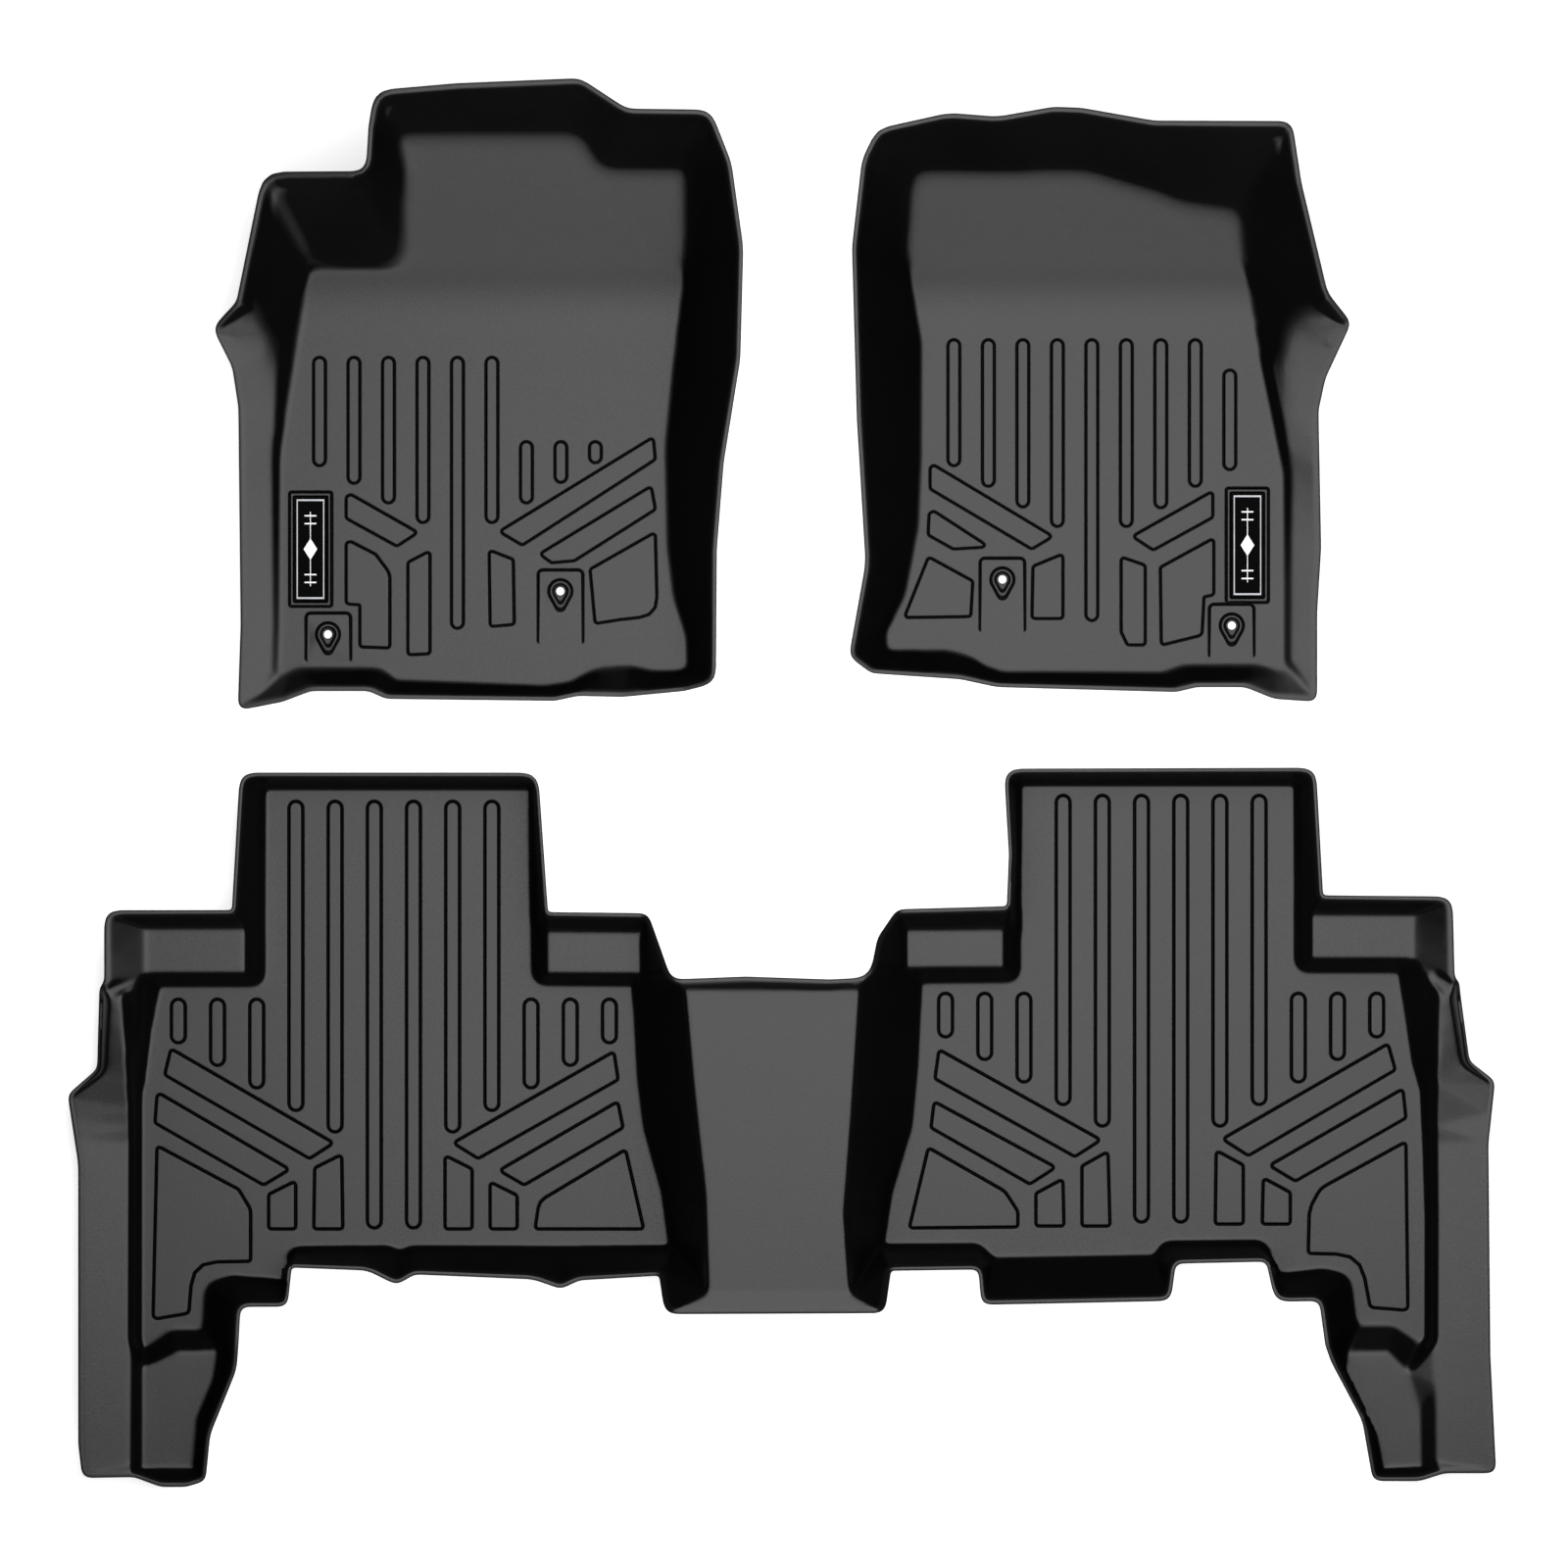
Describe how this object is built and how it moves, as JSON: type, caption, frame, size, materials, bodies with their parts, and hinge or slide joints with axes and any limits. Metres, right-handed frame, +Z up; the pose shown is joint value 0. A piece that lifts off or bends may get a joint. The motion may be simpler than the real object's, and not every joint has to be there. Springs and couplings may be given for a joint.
{
  "type": "floor mat set",
  "caption": "Moulded all-weather floor mat set: driver mat, passenger mat and one-piece rear mat with raised edges, ribs, drop-shaped eyelets and badges.",
  "frame": {"origin": "middle of the laid-out set's bounding box, on the plane that the mats rest on", "axes": "+X towards the passenger side, +Y towards the front of the vehicle, +Z up"},
  "size_m": [1.4547, 1.4307, 0.182],
  "materials": {
    "mat": "satin black thermoplastic rubber with a fine moulded grain",
    "eyelet": "semi-matte black",
    "badge_edge": "polished edge",
    "badge_face": "gloss black",
    "badge_emblem": "printed white"
  },
  "bodies": {
    "rear": {"rear_mat": "mat"},
    "driver": {"driver_mat": "mat", "driver_left_eyelet": "eyelet", "driver_left_eyelet_ring": "eyelet", "driver_right_eyelet": "eyelet", "driver_right_eyelet_ring": "eyelet", "driver_badge_base": "badge_edge", "driver_badge_face": "badge_face", "driver_badge_emblem": "badge_emblem"},
    "passenger": {"passenger_mat": "mat", "passenger_left_eyelet": "eyelet", "passenger_left_eyelet_ring": "eyelet", "passenger_right_eyelet": "eyelet", "passenger_right_eyelet_ring": "eyelet", "passenger_badge_base": "badge_edge", "passenger_badge_face": "badge_face", "passenger_badge_emblem": "badge_emblem"}
  },
  "joints": [
    {"name": "driver_lift", "type": "slide", "parent": "rear", "child": "driver", "axis": [0, 0, 1], "range_m": [0, 0.25]},
    {"name": "passenger_lift", "type": "slide", "parent": "rear", "child": "passenger", "axis": [0, 0, 1], "range_m": [0, 0.25]}
  ]
}
